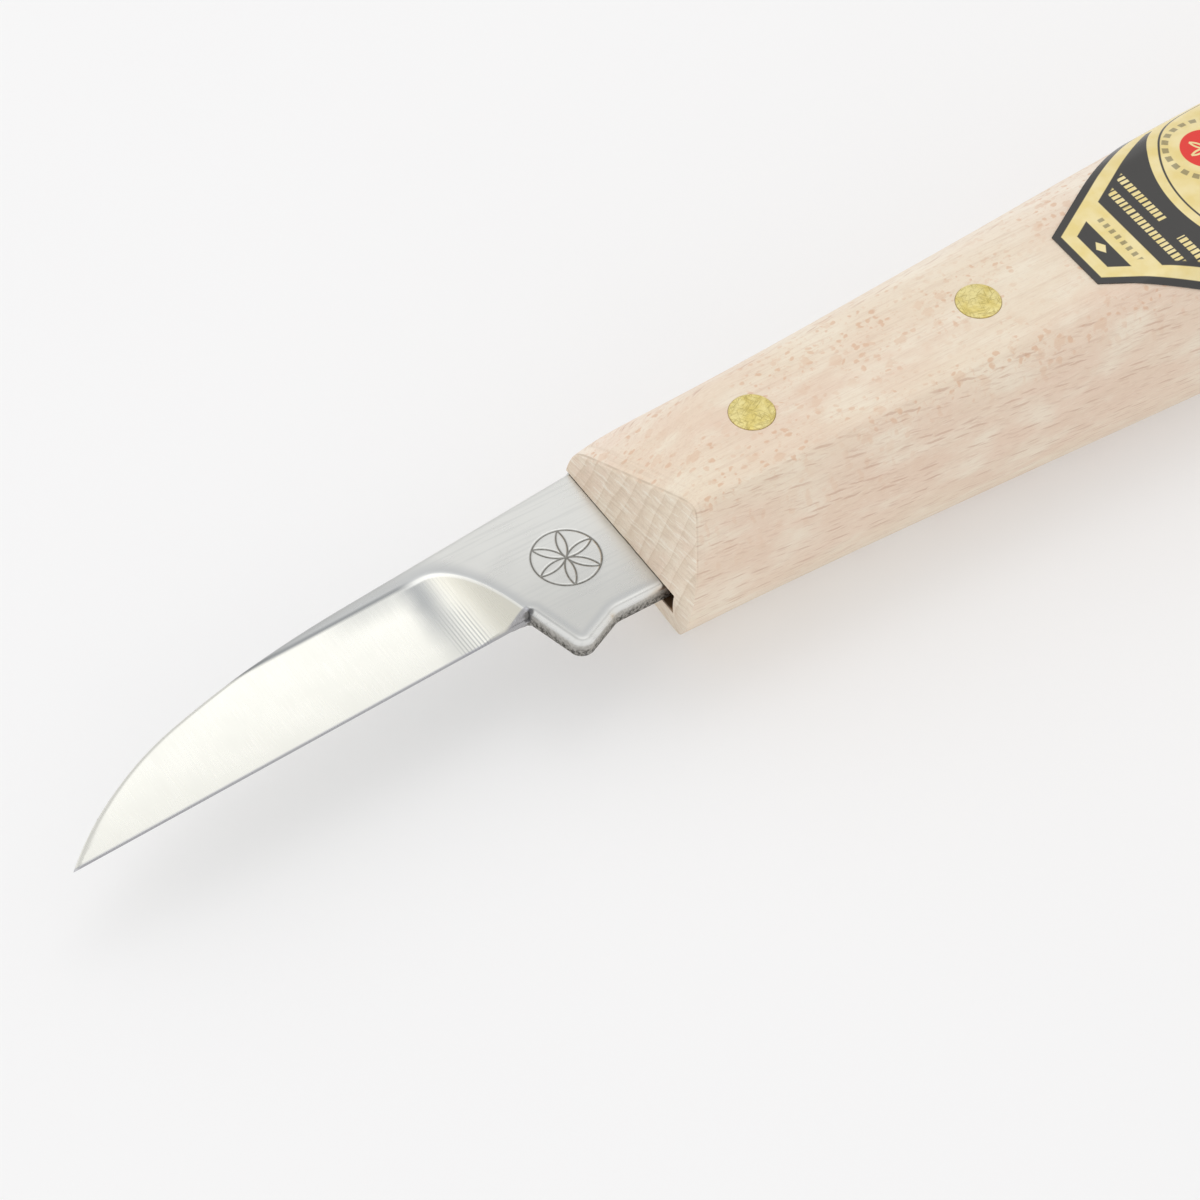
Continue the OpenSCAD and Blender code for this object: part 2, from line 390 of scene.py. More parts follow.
def blade_outline():
    """The blade's lower and upper outlines, each from the tip to the end of the tang."""
    back_end = np.array((-BACK_STRAIGHT, BACK_Y - BACK_STRAIGHT * math.tan(BACK_SLOPE)))
    drop_centre = back_end + DROP_R * np.array((math.sin(BACK_SLOPE), -math.cos(BACK_SLOPE)))
    drop_end = drop_centre + DROP_R * np.array((-math.sin(DROP_TURN), math.cos(DROP_TURN)))
    nose_centre = drop_end + NOSE_R * np.array((math.sin(DROP_TURN), -math.cos(DROP_TURN)))
    fall = EDGE_SLOPE + math.acos(-edge_axes(*nose_centre)[1] / NOSE_R)
    tip = nose_centre + NOSE_R * np.array((-math.sin(fall), math.cos(fall)))
    low = np.vstack([
        [tip, HEEL],
        arc(LOBE_CENTRE, LOBE_R, 188, 302),
        arc(CROOK_CENTRE, CROOK_R, 122, 90),
        [(TANG_END - 3, TANG_Y), (TANG_END, TANG_Y + 3)],
    ])
    tang_x = np.arange(1.5, TANG_END - 1, 2.0)
    high = np.vstack([
        arc(nose_centre, NOSE_R, 90 + math.degrees(fall), 90 + math.degrees(DROP_TURN), 60),
        arc(drop_centre, DROP_R, 90 + math.degrees(DROP_TURN), 90 + math.degrees(BACK_SLOPE)),
        [(0, BACK_Y)],
        np.stack([tang_x, handle_radius(tang_x, 0.0) - 0.06], axis=1),
        [(TANG_END, handle_radius(TANG_END, 0.0) - 3)],
    ])
    return low, high


def edge_axes(x, y):
    """Distance along the cutting edge from the heel, and distance above the edge."""
    dx, dy = x - HEEL[0], y - HEEL[1]
    along = dx * math.cos(EDGE_SLOPE) + dy * math.sin(EDGE_SLOPE)
    above = dy * math.cos(EDGE_SLOPE) - dx * math.sin(EDGE_SLOPE)
    return along, above


def wheel_place():
    """Offset above the edge and height of the grinding wheel's axis: the wheel passes through
    the cutting edge, and comes out of the flat at the top of the grind."""
    rise = HALF_STOCK - EDGE_HALF
    chord = math.hypot(GRIND_WIDTH, rise)
    lean = math.atan2(rise, GRIND_WIDTH)
    height = math.sqrt(WHEEL_R**2 - chord**2 / 4)
    offset = chord / 2 * math.cos(lean) - height * math.sin(lean)
    return offset, EDGE_HALF + chord / 2 * math.sin(lean) + height * math.cos(lean)


def ground_height(x, y):
    """Height of the hollow grind above the blade's middle. The wheel's side is a cone, and its
    worn corner is round."""
    along, above = edge_axes(x, y)
    offset, height = wheel_place()
    past = along - (PLUNGE_X - HEEL[0])
    reach = WHEEL_R - smooth_max(past, np.zeros_like(past), PLUNGE_ROUND) / PLUNGE_RUN
    return height - np.sqrt(np.maximum(reach**2 - (above - offset) ** 2, 1))


def distance_to_line(x, y, line):
    """Distance of each point from a line of points."""
    best = np.full(np.shape(x), np.inf)
    for (ax, ay), (bx, by) in zip(line[:-1], line[1:]):
        span = max((bx - ax) ** 2 + (by - ay) ** 2, 1e-9)
        t = np.clip(((x - ax) * (bx - ax) + (y - ay) * (by - ay)) / span, 0, 1)
        best = np.minimum(best, np.hypot(x - ax - t * (bx - ax), y - ay - t * (by - ay)))
    return best


def rounding(distance, radius):
    """How far a rounded arris lies below the face, by distance from the side."""
    inside = np.clip(radius - distance, 0, radius)
    return radius - np.sqrt(np.maximum(radius**2 - inside**2, 0))


def mark_depth(x, y):
    """A six-petalled rosette in a ring, drawn with the compass and engraved."""
    dx, dy = x - MARK_CENTRE[0], y - MARK_CENTRE[1]
    from_centre = np.hypot(dx, dy)
    line = np.abs(from_centre - MARK_R)
    for k in range(6):
        turn = math.radians(60 * k + 12)
        cx, cy = MARK_R * math.cos(turn), MARK_R * math.sin(turn)
        petal = np.abs(np.hypot(dx - cx, dy - cy) - MARK_R)
        line = np.minimum(line, np.where(from_centre < MARK_R, petal, np.inf))
    return GROOVE_DEPTH * ease((GROOVE_HALF - line) / GROOVE_HALF)


def guard_line(low):
    """The lower outline from the heel to the wood."""
    return low[1:np.searchsorted(low[:, 0], 0) + 1]


def half_thickness(x, y, low, high):
    """Height of the steel's surface above the middle of the blade."""
    half = smooth_min(ground_height(x, y), np.full_like(x, HALF_STOCK), 0.05)
    above = edge_axes(x, y)[1]
    whetted = 0.02 + 0.42 * np.maximum(above, 0) + 6 * np.maximum(above - WHET_WIDTH, 0)
    half = np.minimum(half, np.where(x < HEEL[0], whetted, np.inf))
    from_spine = distance_to_line(x, y, high[high[:, 0] <= 0])
    from_guard = distance_to_line(x, y, guard_line(low))
    half = half - np.minimum(rounding(from_spine, BACK_ROUND), 0.6 * half)
    return half - np.minimum(rounding(from_guard, GUARD_ROUND), 0.62 * half)


def blade_columns():
    """Places along the blade. They are closer together at the tip, the plunge and the mark."""
    return np.concatenate([
        TIP_X + np.array((0.04, 0.12, 0.22, 0.35, 0.55, 0.8, 1.1)),
        np.arange(TIP_X + 1.5, -18, 0.4),
        np.arange(-18, -12.6, 0.15),
        np.arange(-12.6, -10.9, 0.1),
        np.arange(-10.85, -9.25, 0.05),
        np.arange(-9.2, -1.8, 0.075),
        np.arange(-1.7, 0.8, 0.2),
        np.arange(1.0, TANG_END - 1, 1.5),
        (TANG_END - 0.7, TANG_END - 0.3, TANG_END),
    ])


def blade_rows(low_y, high_y):
    """Places across the blade for one column: close together at the sides and at the mark."""
    rim = np.array((0, 0.03, 0.07, 0.12, 0.18, 0.25, 0.33, 0.42, 0.55, 0.8, 1.2))
    width = high_y - low_y
    rim = rim * min(1, width / 3)
    middle = np.concatenate([
        np.linspace(0, 0.22, 14)[1:],
        np.linspace(0.22, 0.78, 84)[1:],
        np.linspace(0.78, 1, 10)[1:-1],
    ])
    inner = low_y + rim[-1] + (width - 2 * rim[-1]) * middle
    return np.concatenate([low_y + rim, inner, (high_y - rim)[::-1]])


def make_blade(material):
    """The blade's two faces over one grid, with the mark engraved in the upper one. Two distances
    are kept on the points for the material."""
    low, high = blade_outline()
    columns = blade_columns()
    ys = np.array([blade_rows(np.interp(x, *low.T), np.interp(x, *high.T)) for x in columns])
    xs = np.repeat(columns[:, None], ys.shape[1], axis=1)
    half = half_thickness(xs, ys, low, high)
    upper = half - mark_depth(xs, ys)
    points = np.concatenate([
        np.stack([xs.ravel(), ys.ravel(), upper.ravel()], axis=1),
        np.stack([xs.ravel(), ys.ravel(), -half.ravel()], axis=1),
    ])
    blade = new_object("blade_steel", points, shell_faces(*xs.shape))
    over_flat = np.clip(ground_height(xs, ys) - HALF_STOCK, -1, 1).ravel()
    from_guard = np.minimum(distance_to_line(xs, ys, guard_line(low)), 5).ravel()
    for name, amount in (("over_flat_mm", over_flat), ("from_guard_mm", from_guard)):
        attribute = blade.data.attributes.new(name, "FLOAT", "POINT")
        attribute.data.foreach_set("value", np.concatenate([amount, amount]).astype(np.float32))
    cut(blade, rivet_holes(3))
    return finish_piece(blade, material, "blade", sharp_angle=35)


# ---- Rivets ----
def make_rivet(name, x, material):
    """A pin ground flush below. Its upper end stands a little proud, slightly domed."""
    profile = [(0, -FLAT_Z), (RIVET_R - 0.05, -FLAT_Z), (RIVET_R, -FLAT_Z + 0.05), (RIVET_R, 0)]
    arris_r, arris_z = RIVET_R - RIVET_ARRIS, RIVET_TOP - RIVET_DOME - RIVET_ARRIS
    for turn in np.radians(np.arange(0, 91, 15)):
        profile.append((arris_r + RIVET_ARRIS * math.cos(turn), arris_z + RIVET_ARRIS * math.sin(turn)))
    for share in np.linspace(0.95, 0, 12):
        profile.append((arris_r * share, RIVET_TOP - RIVET_DOME * share**2))
    rivet = turned(f"{name}_brass", profile, x)
    return finish_piece(rivet, material, name, sharp_angle=50)


# ---- Label ----
def around_handle(x, distances):
    """Y and Z on the handle's section at x, at these distances round it from the middle of the
    label, and the surface's normal there. Distances are positive towards the back."""
    sweep = np.radians(np.linspace(-95, 95, 761))
    turns = LABEL_MIDDLE - sweep
    radius = handle_radius(np.full_like(turns, x), turns)
    y = radius * np.cos(turns)
    z = -smooth_max(-radius * np.sin(turns), np.full_like(turns, -FLAT_Z), 0.1)
    steps = np.hypot(np.diff(y), np.diff(z))
    walked = np.concatenate([[0], np.cumsum(steps)])
    walked -= np.interp(0, sweep, walked)
    ny, nz = -np.gradient(z), np.gradient(y)
    length = np.hypot(ny, nz)
    return [np.interp(distances, walked, values) for values in (y, z, ny / length, nz / length)]


def make_label(material):
    """The foil as a thin shell over the wood. Its points keep their place on the printed sheet."""
    shoulder = (LABEL_HALF - LABEL_END_HALF) / math.tan(LABEL_TAPER)
    ends = np.linspace(0, shoulder, 40)
    middle = np.linspace(shoulder, LABEL_LEN - shoulder, 30)[1:-1]
    columns = np.concatenate([ends, middle, LABEL_LEN - ends[::-1]])
    shares = np.linspace(-1, 1, 121)
    skins, printed = {LABEL_GAP: [], LABEL_TOP: []}, []
    for along in columns:
        inset = min(along, LABEL_LEN - along)
        width = min(LABEL_HALF, LABEL_END_HALF + inset * math.tan(LABEL_TAPER))
        y, z, ny, nz = around_handle(LABEL_X + along, shares * width)
        printed += [(along, share * width, 0) for share in shares]
        for lift, skin in skins.items():
            skin += list(zip(np.full_like(y, LABEL_X + along), y + lift * ny, z + lift * nz))
    points = skins[LABEL_GAP] + skins[LABEL_TOP]
    label = new_object("label_foil", points, shell_faces(len(columns), len(shares)))
    places = label.data.attributes.new("print_mm", "FLOAT_VECTOR", "POINT")
    places.data.foreach_set("vector", np.array(printed + printed, np.float32).ravel())
    return finish_piece(label, material, "label", sharp_angle=50)


# ---- Materials ----
class Field:
    """A number that varies over a surface. Sums with fields build the shader's Math nodes."""

    def __init__(self, tree, socket):
        self.tree = tree
        self.socket = socket

    def __add__(self, other):
        return maths("ADD", self, other)

    def __sub__(self, other):
        return maths("SUBTRACT", self, other)

    def __rsub__(self, other):
        return maths("SUBTRACT", other, self)

    def __mul__(self, other):
        return maths("MULTIPLY", self, other)

    def __truediv__(self, other):
        return maths("DIVIDE", self, other)

    __radd__ = __add__
    __rmul__ = __mul__


def connect(tree, value, socket):
    """Links a field to a socket, or sets the socket's own value."""
    if isinstance(value, Field):
        tree.links.new(value.socket, socket)
    else:
        socket.default_value = value


def maths(operation, *values):
    tree = next(value.tree for value in values if isinstance(value, Field))
    node = tree.nodes.new("ShaderNodeMath")
    node.operation = operation
    for value, socket in zip(values, node.inputs):
        connect(tree, value, socket)
    return Field(tree, node.outputs[0])


def least(*values):
    return functools.reduce(lambda a, b: maths("MINIMUM", a, b), values)


def most(*values):
    return functools.reduce(lambda a, b: maths("MAXIMUM", a, b), values)


def hypotenuse(a, b):
    return maths("SQRT", a * a + b * b)


def ramp(value, start, end, low=0.0, high=1.0):
    """low up to start, high from end, and a smooth change between them."""
    node = value.tree.nodes.new("ShaderNodeMapRange")
    node.interpolation_type = "SMOOTHSTEP"
    for amount, socket in zip((value, start, end, low, high), node.inputs):
        connect(value.tree, amount, socket)
    return Field(value.tree, node.outputs[0])


def band(value, start, end, soft=0.05):
    """1 between start and end, and 0 elsewhere."""
    return ramp(value, start - soft, start + soft) * ramp(value, end - soft, end + soft, 1.0, 0.0)


def spread(x, y, z, scale=(1, 1, 1)):
    """A vector for a texture, from coordinates in millimetres and a scale per millimetre."""
    node = x.tree.nodes.new("ShaderNodeCombineXYZ")
    for value, factor, socket in zip((x, y, z), scale, node.inputs):
        x.tree.links.new((value * factor).socket, socket)
    return node.outputs[0]


def noise(vector, detail=2.0, roughness=0.5, distortion=0.0):
    tree = vector.id_data
    node = tree.nodes.new("ShaderNodeTexNoise")
    tree.links.new(vector, node.inputs["Vector"])
    node.inputs["Scale"].default_value = 1.0
    node.inputs["Detail"].default_value = detail
    node.inputs["Roughness"].default_value = roughness
    node.inputs["Distortion"].default_value = distortion
    return Field(tree, node.outputs["Fac"])


def cells(vector):
    """Distance to the nearest of a flat scatter of points, and that point's random number. Only
    the vector's first two parts count."""
    tree = vector.id_data
    node = tree.nodes.new("ShaderNodeTexVoronoi")
    node.voronoi_dimensions = "2D"
    tree.links.new(vector, node.inputs["Vector"])
    node.inputs["Scale"].default_value = 1.0
    split = tree.nodes.new("ShaderNodeSeparateColor")
    tree.links.new(node.outputs["Color"], split.inputs[0])
    return Field(tree, node.outputs["Distance"]), Field(tree, split.outputs[0])


def spots(vector, presence, smallest, largest, soft):
    """Scattered spots. presence is the share of the points that have one."""
    apart, chance = cells(vector)
    radius = ramp(chance, 1 - presence, 1.0, smallest, largest)
    there = ramp(chance, 1 - presence - 0.01, 1 - presence)
    return ramp(apart - radius, -soft, 0.0, 1.0, 0.0) * there


class Finish:
    """A Principled material, with the piece's coordinates in knife axes in millimetres."""

    def __init__(self, name):
        self.material = bpy.data.materials.new(name)
        self.material.use_nodes = True
        self.tree = self.material.node_tree
        self.shader = self.tree.nodes["Principled BSDF"]
        coordinates = self.tree.nodes.new("ShaderNodeTexCoord")
        self.x, self.y, self.z = [part / MM for part in self.split(coordinates.outputs["Object"])]
        self.facing = [maths("ABSOLUTE", part) for part in self.split(coordinates.outputs["Normal"])]

    def split(self, vector):
        node = self.tree.nodes.new("ShaderNodeSeparateXYZ")
        self.tree.links.new(vector, node.inputs[0])
        return [Field(self.tree, socket) for socket in node.outputs]

    def attribute(self, name):
        node = self.tree.nodes.new("ShaderNodeAttribute")
        node.attribute_name = name
        return node

    def mix(self, under, over, share):
        """One colour laid over another, by a share that varies."""
        node = self.tree.nodes.new("ShaderNodeMix")
        node.data_type = "RGBA"
        connect(self.tree, share, node.inputs[0])
        for value, socket in ((under, node.inputs[6]), (over, node.inputs[7])):
            if isinstance(value, tuple):
                socket.default_value = (*value, 1)
            else:
                self.tree.links.new(value, socket)
        return node.outputs[2]

    def set(self, socket, value):
        """A shader's input: a constant, a field or a mixed colour."""
        if isinstance(value, bpy.types.NodeSocket):
            value = Field(self.tree, value)
        connect(self.tree, value, self.shader.inputs[socket])

    def bump(self, height_mm):
        """Relief, from a height in millimetres."""
        node = self.tree.nodes.new("ShaderNodeBump")
        node.inputs["Strength"].default_value = 1.0
        node.inputs["Distance"].default_value = MM
        self.tree.links.new(height_mm.socket, node.inputs["Height"])
        self.tree.links.new(node.outputs[0], self.shader.inputs["Normal"])


# ---- Beech ----
BEECH, BEECH_PINK, BEECH_PALE = (0.835, 0.72, 0.575), (0.80, 0.632, 0.505), (0.87, 0.785, 0.65)
SAWN_PALE = (0.91, 0.815, 0.68)
BACK_PAINTED_LIGHT = (0.93, 0.87, 0.79)
LATEWOOD = (0.60, 0.45, 0.31)
FIBRE_DARK = (0.69, 0.52, 0.40)
PORE_DARK, PORE_LIGHT = (0.63, 0.47, 0.36), (0.91, 0.83, 0.71)
FLECK_BROWN = (0.68, 0.39, 0.23)
DASH_BROWN = (0.54, 0.33, 0.24)
STROKE_DARK, STROKE_LIGHT = (0.66, 0.54, 0.42), (0.95, 0.90, 0.80)
CREASE_SHADE = (0.47, 0.37, 0.27)
SLOT_LIT, SLOT_SHADED = (0.55, 0.29, 0.12), (0.11, 0.062, 0.03)
RING_PITCH = 1.6


def beech_figure(wood, end_grain, flank):
    """The wood's slow changes of colour, a painted light that pales the flats towards the back, and its
    growth rings, darkest on the sawn front.
    """
    x, y, z = wood.x, wood.y, wood.z
    drift = noise(spread(x, y, z, (0.035, 0.12, 0.12)), 3)
    mottle = noise(spread(x, y, z, (0.16, 0.4, 0.4)), 3)
    colour = wood.mix(BEECH, BEECH_PINK, ramp(drift, 0.35, 0.65))
    colour = wood.mix(colour, BEECH_PALE, ramp(mottle, 0.45, 0.7) * 0.75)
    colour = wood.mix(colour, SAWN_PALE, end_grain * 0.3)
    # Painted light: the flats turn paler towards the back, where the light from behind falls on them.
    colour = wood.mix(colour, BACK_PAINTED_LIGHT, ramp(y, 2.5, 9.0) * flank * 0.5)

    uneven = noise(spread(x, y, z, (0.02, 0.35, 0.05)), 2) - 0.5
    ring = maths("FRACT", (y + 0.11 * z + 1.6 * (drift - 0.5) + 2.6 * uneven) / RING_PITCH)
    ring_dark = ramp(ring, 0.1, 0.9, 0.0, 0.6) + 0.4 * band(ring, 0.86, 0.95, 0.06)
    ring_dark = ring_dark * ramp(ring, 0.95, 1.0, 1.0, 0.0)
    return wood.mix(colour, LATEWOOD, ring_dark * (0.1 + 0.3 * end_grain))


def ray_flecks(wood, wander):
    """The cut ends of the rays, as they show on the flanks: wide and small flecks, and specks."""
    x, y, z = wood.x, wood.y, wood.z
    warp = noise(spread(x, y, z, (1.9, 1.9, 1.9)), 3) - 0.5
    clusters = ramp(noise(spread(x, y, z, (0.13, 0.2, 0.1)), 2), 0.38, 0.58, 0.2, 1.0)
    wide_place = spread(x + 1.6 * warp, y + 1.3 * warp + wander, z, (0.5, 0.72, 1))
    wide = spots(wide_place, 0.5, 0.12, 0.40, 0.16)
    small_place = spread(x + 0.8 * warp, y + 1.1 * wander, z, (1.15, 1.6, 1))
    small = spots(small_place, 0.5, 0.12, 0.44, 0.22)
    specks = ramp(noise(spread(x, y, z, (2.2, 3.0, 1.0)), 3, 0.65), 0.55, 0.68)
    return most(wide * 0.55, small, specks * 0.45) * clusters


def ray_dashes(wood, wander):
    """The rays along the sides, as long and short dashes. Each row starts further on than the
    one before it, so that they don't line up."""
    x, y, z = wood.x, wood.y, wood.z
    across = z + 0.05 * x + 0.3 * wander
    long_dash = spots(spread(x + 6.1 * across, across, y, (0.33, 3.3, 1)), 0.42, 0.1, 0.38, 0.18)
    short_place = spread(x + 4.6 * across + 9, across, y, (0.62, 4.6, 1))
    short_dash = spots(short_place, 0.45, 0.15, 0.45, 0.2)
    return most(long_dash, short_dash * 0.45)


def slot_shade(wood, colour, height):
    """Painted shade in the slot: dark inside, and painted light at its floor, where light gets in."""
    open_end = ramp(wood.x, TANG_END + 0.12, TANG_END + 0.16, 1.0, 0.0) * ramp(wood.x, 0.1, 0.3)
    in_slot = ramp(height, SLOT_HALF + 0.01, SLOT_HALF + 0.03, 1.0, 0.0)
    in_slot = in_slot * ramp(wood.y, SLOT_FLOOR - 0.06, SLOT_FLOOR - 0.02)
    gap = wood.mix(SLOT_LIT, SLOT_SHADED, ramp(wood.y, SLOT_FLOOR + 0.1, SLOT_FLOOR + 0.9))
    return wood.mix(colour, gap, in_slot * open_end)


def beech():
    """Sanded beech. The rays show as flecks on the flanks and as short dashes on the sides, and
    the growth rings as bands on the sawn front."""
    wood = Finish("beech")
    x, y, z = wood.x, wood.y, wood.z
    end_grain, side, flank = [ramp(part, 0.35, 0.8) for part in wood.facing]
    height = maths("ABSOLUTE", z)
    from_bevel = x - BEVEL_LEAN * (height - HALF_STOCK)
    wander = noise(spread(x, y, z, (0.6, 0.6, 0.6)), 3) - 0.5
    colour = beech_figure(wood, end_grain, flank)

    fibre = noise(spread(x, y, z, (0.3, 5.0, 5.0)), 4, 0.62)
    colour = wood.mix(colour, FIBRE_DARK, ramp(fibre, 0.48, 0.70) * 0.36)
    pores = noise(spread(x, y, z, (1.1, 13.0, 13.0)), 2)
    colour = wood.mix(colour, PORE_DARK, ramp(pores, 0.6, 0.74) * 0.3)
    colour = wood.mix(colour, PORE_LIGHT, ramp(pores, 0.30, 0.42, 1.0, 0.0) * 0.3)
    colour = wood.mix(colour, FLECK_BROWN, ray_flecks(wood, wander) * flank * 0.52)
    dash = ray_dashes(wood, wander) * ramp(side, 0.0, 0.5)
    colour = wood.mix(colour, DASH_BROWN, dash * 0.46)

    sawn = most(end_grain, ramp(from_bevel, 0.9, 3.2, 0.7, 0.0) * flank)
    saw = noise(spread(from_bevel + 0.06 * wander, y, z, (3.2, 0.1, 0.1)), 3, 0.6)
    face_saw = noise(spread(x, y, z + 0.12 * y + 0.3 * wander, (0.3, 0.4, 4.5)), 3, 0.6)
    stroke = end_grain * ramp(face_saw, 0.52, 0.66) + (1 - end_grain) * ramp(saw, 0.48, 0.66)
    colour = wood.mix(colour, STROKE_DARK, stroke * sawn * 0.42)
    light_stroke = ramp(face_saw, 0.34, 0.46, 1.0, 0.0) * end_grain
    colour = wood.mix(colour, STROKE_LIGHT, light_stroke * 0.5)
    # Painted shade: a dark line on the flats just behind their crease with the front bevels.
    crease_shade = band(from_bevel, 0.07, 0.2, 0.06) * ramp(wander, -0.15, 0.05, 0.5, 1.0)
    colour = wood.mix(colour, CREASE_SHADE, crease_shade * flank * 0.55)

    wood.set("Base Color", slot_shade(wood, colour, height))
    wood.set("Roughness", 0.62 + 0.12 * (fibre - 0.5) + 0.06 * sawn)
    wood.set("Specular IOR Level", 0.3)
    relief = 0.016 * (fibre - 0.5) - 0.01 * dash - 0.008 * ramp(pores, 0.6, 0.72)
    wood.bump(relief - 0.012 * stroke * sawn)
    return wood.material


# ---- Blade steel ----
FLAT_DARK, FLAT_LIGHT = (0.64, 0.64, 0.62), (0.81, 0.81, 0.785)
FLAT_EDGE_SHADE = (0.40, 0.42, 0.45)
DRAWN_GREY = (0.55, 0.56, 0.55)
GROUND_LIGHT = (0.83, 0.825, 0.77)
PLUNGE_WARM_REFLECTION, PLUNGE_SHADE = (0.72, 0.69, 0.58), (0.36, 0.37, 0.375)
WHEEL_LINE, GRIND_TOP_SHADE = (0.42, 0.43, 0.42), (0.40, 0.41, 0.41)
CREST_HIGHLIGHT, SHOULDER_SHADE = (0.93, 0.93, 0.90), (0.20, 0.21, 0.22)
WHETTED_SHADE = (0.34, 0.34, 0.38)
WOOD_EDGE_DARK = (0.36, 0.35, 0.31)
ROUGH_LIGHT, ROUGH_DARK, PIT_DARK = (0.60, 0.585, 0.55), (0.13, 0.115, 0.095), (0.06, 0.055, 0.045)
ROLLED_HIGHLIGHT = (0.97, 0.97, 0.95)
NOOK_SHADOW = (0.06, 0.06, 0.065)
MARK_DARK = (0.13, 0.12, 0.10)
WHEEL_LINE_PITCH = 0.31


class BladeFinish(Finish):
    """The blade's steel, with places measured from the cutting edge, the grind and the guard."""

    def __init__(self):
        super().__init__("blade_steel")
        x, y, z = self.x, self.y, self.z
        self.along = x + y * math.tan(EDGE_SLOPE)
        self.above = (y - HEEL[1]) * math.cos(EDGE_SLOPE) - (x - HEEL[0]) * math.sin(EDGE_SLOPE)
        self.over_flat = Field(self.tree, self.attribute("over_flat_mm").outputs["Fac"])
        self.from_guard = Field(self.tree, self.attribute("from_guard_mm").outputs["Fac"])
        self.hollow = ramp(self.over_flat, -0.03, 0.0, 1.0, 0.0)
        self.cloud = noise(spread(x, y, z, (0.25, 0.35, 0.35)), 3)
        self.pits = noise(spread(x, y, z, (3.4, 3.4, 3.4)), 4, 0.7)


def ground_colour(steel, colour):
    """The hollow grind: pale, with a painted warm reflection by the plunge, a painted grey shade and
    the wheel's lines before the plunge, a painted shade under its top, and a painted highlight on the
    crest or a painted shade on the shoulder where it meets the flat. Gives the lines as well."""
    x, y, along, above = steel.x, steel.y, steel.along, steel.above
    hollow, over_flat, cloud = steel.hollow, steel.over_flat, steel.cloud
    colour = steel.mix(colour, GROUND_LIGHT, hollow * 0.85)
    # Painted reflection: the grind turns warmer and darker towards the plunge.
    near_plunge = ramp(x + 0.25 * y, -16.5, -13.0)
    colour = steel.mix(colour, PLUNGE_WARM_REFLECTION, near_plunge * hollow * 0.55)
    shade = band(x + 0.8 * (cloud - 0.5), -18.6, -16.3, 1.2) * ramp(above, 0.0, 7.0, 0.3, 1.0)
    colour = steel.mix(colour, PLUNGE_SHADE, shade * hollow * 0.95)

    stripe = ramp(maths("SINE", along * (2 * math.pi / WHEEL_LINE_PITCH) + 2.0 * cloud), -0.2, 0.9)
    striped = band(along + 0.3 * cloud, -17.4, -14.6, 0.5) * ramp(above, 3.2, 5.5, 1.0, 0.25) * hollow
    lines = stripe * striped
    colour = steel.mix(colour, WHEEL_LINE, lines * 0.75)

    # Painted shade: a cloudy dark band in the hollow just under the top of the grind.
    top_shade = ramp(over_flat + 0.1 * (cloud - 0.5), -0.42, -0.04) * band(x, -25, -17.5, 2.5)
    colour = steel.mix(colour, GRIND_TOP_SHADE, top_shade * hollow * 0.5)
    # Painted highlight along the crest where the grind meets the flat, near the plunge.
    plunging = ramp(x, -19.0, -16.8)
    crest = band(over_flat, -0.07, 0.0, 0.02) * plunging
    colour = steel.mix(colour, CREST_HIGHLIGHT, crest * 0.7)
    # Painted shade: a dark line along the shoulder where the grind meets the flat, away from the
    # plunge.
    shoulder = band(over_flat, -0.03, 0.03, 0.03) * (1 - plunging)
    return steel.mix(colour, SHOULDER_SHADE, shoulder * 0.75), lines


def guard_colour(steel, colour, rough_side):
    """The guard's side, dark and pitted towards its lower arris, a painted highlight on its rolled
    upper arris, and a painted shadow in the nook at the heel."""
    x, y, z = steel.x, steel.y, steel.z
    colour = steel.mix(colour, ROUGH_LIGHT, rough_side)
    low_side = ramp(z + 0.5 * (steel.cloud - 0.5), -0.3, 0.5, 1.0, 0.25) * rough_side
    colour = steel.mix(colour, ROUGH_DARK, low_side * 0.5)
    colour = steel.mix(colour, PIT_DARK, ramp(steel.pits, 0.46, 0.54) * low_side * 0.9)
    # Painted highlight along the rolled upper arris of the guard.
    rolled = band(steel.from_guard, 0.08, 0.42, 0.1) * ramp(z, 0.1, 0.5)
    rolled = rolled * ramp(x, HEEL[0], HEEL[0] + 0.4)
    colour = steel.mix(colour, ROLLED_HIGHLIGHT, rolled * 0.75)
    # Painted shadow: a dark spot in the nook at the heel.
    from_nook = hypotenuse(x - HEEL[0] - 0.15, y - HEEL[1] - 0.25)
    nook = ramp(from_nook, 0.12, 0.36, 1.0, 0.0) * ramp(z, -0.6, 0.4)
    return steel.mix(colour, NOOK_SHADOW, nook * 0.8)


